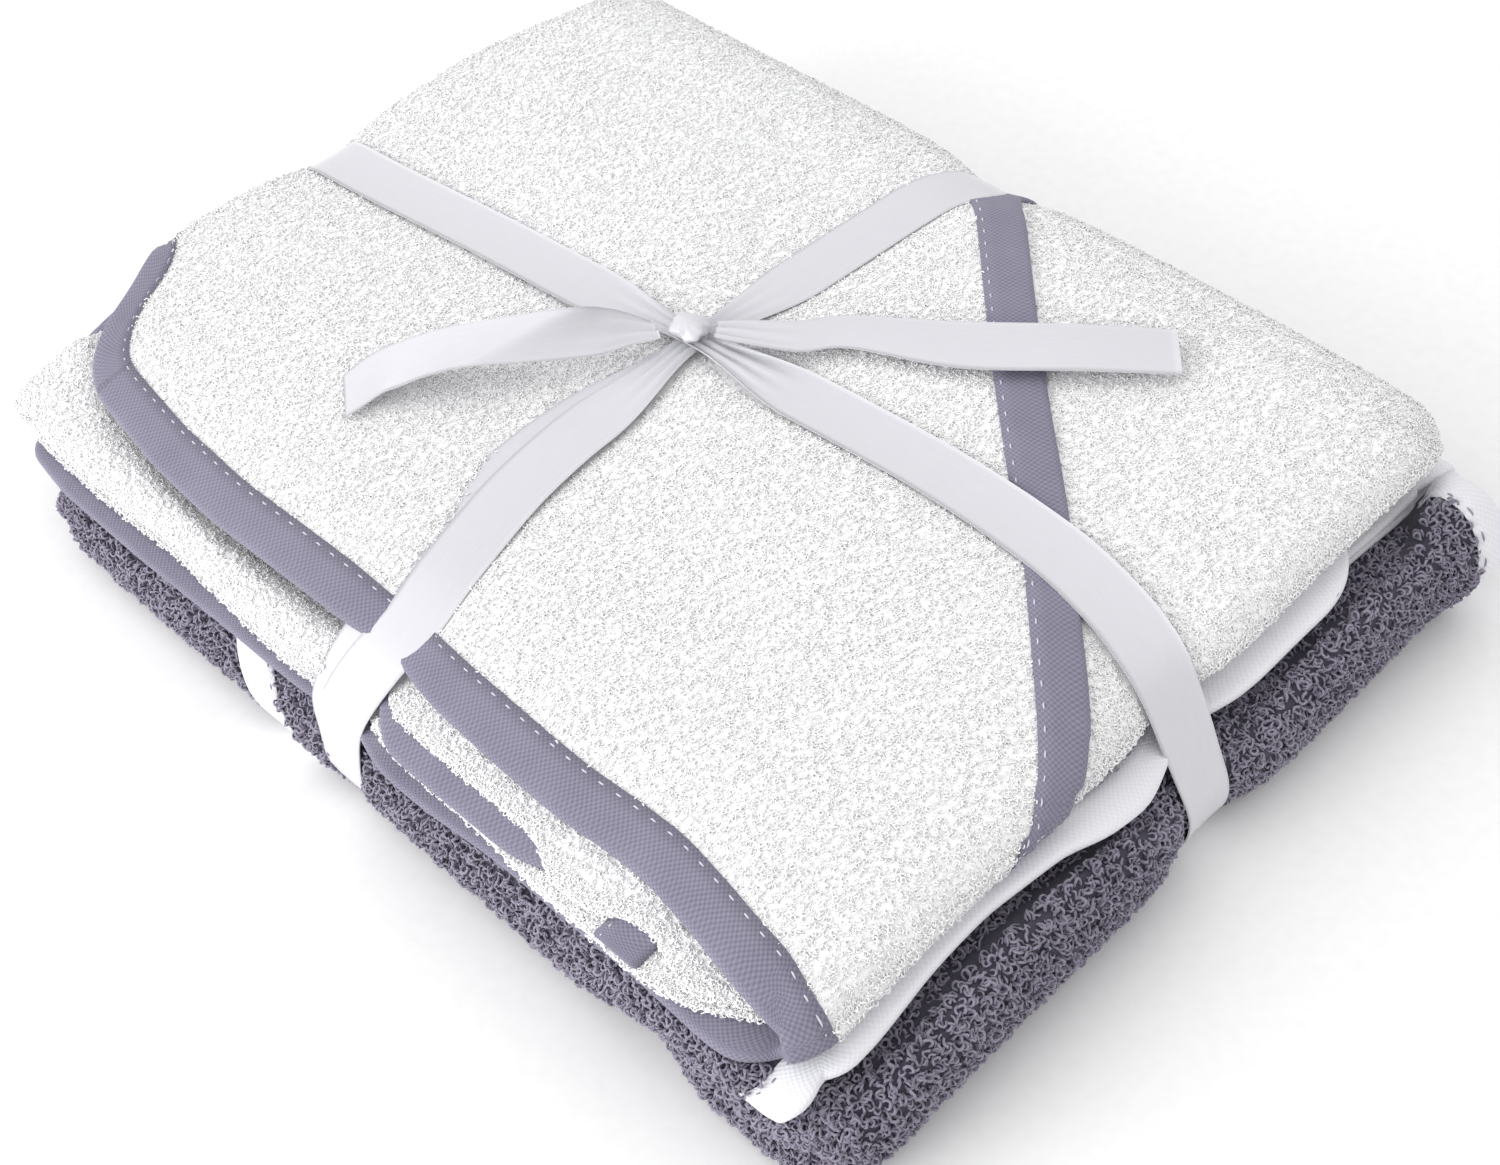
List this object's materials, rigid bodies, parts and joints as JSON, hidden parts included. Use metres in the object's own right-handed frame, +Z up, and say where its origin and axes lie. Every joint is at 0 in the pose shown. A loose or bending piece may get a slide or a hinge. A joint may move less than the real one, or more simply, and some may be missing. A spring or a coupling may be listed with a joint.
{
  "type": "bath towel set",
  "caption": "White and grey hooded terry towels with contrast binding, each folded flat, stacked and tied crosswise with a satin ribbon whose two loose ends lift.",
  "frame": {"origin": "centre of the stack's box, on the surface it rests on", "axes": "+X along the long side of the folded towels, +Y across them, +Z up; the white towel's hood corner is at -X -Y and the grey towel's at +X +Y"},
  "size_m": [0.291, 0.228, 0.0525],
  "materials": {
    "white_terry": "soft white cotton terry with short curled loops",
    "grey_terry": "slate grey cotton terry with open loops",
    "grey_binding": "slate grey plain-weave bias binding",
    "white_binding": "white plain-weave bias binding",
    "pale_thread": "pale grey sewing thread",
    "grey_thread": "slate grey sewing thread",
    "satin_ribbon": "white satin ribbon with a soft sheen"
  },
  "bodies": {
    "stack": {"white_towel": "white_terry", "white_hood": "white_terry", "white_edge_binding": "grey_binding", "white_hood_binding": "grey_binding", "white_edge_stitching": "pale_thread", "white_hood_stitching": "pale_thread", "grey_towel": "grey_terry", "grey_hood": "grey_terry", "grey_edge_binding": "white_binding", "grey_hood_binding": "white_binding", "grey_edge_stitching": "grey_thread", "grey_hood_stitching": "grey_thread", "ribbon_wrap": "satin_ribbon", "ribbon_knot": "satin_ribbon"},
    "left_tail": {"ribbon_tail_left": "satin_ribbon"},
    "right_tail": {"ribbon_tail_right": "satin_ribbon"}
  },
  "joints": [
    {"name": "left_tail_lift", "type": "hinge", "parent": "stack", "child": "left_tail", "pos_m": [-0.02011, 0.0053, 0.04825], "axis": [-0.8572, 0.515, 0], "range_deg": [0, 85]},
    {"name": "right_tail_lift", "type": "hinge", "parent": "stack", "child": "right_tail", "pos_m": [-0.01091, 0.01551, 0.04825], "axis": [0.6018, -0.7986, 0], "range_deg": [0, 85]}
  ]
}
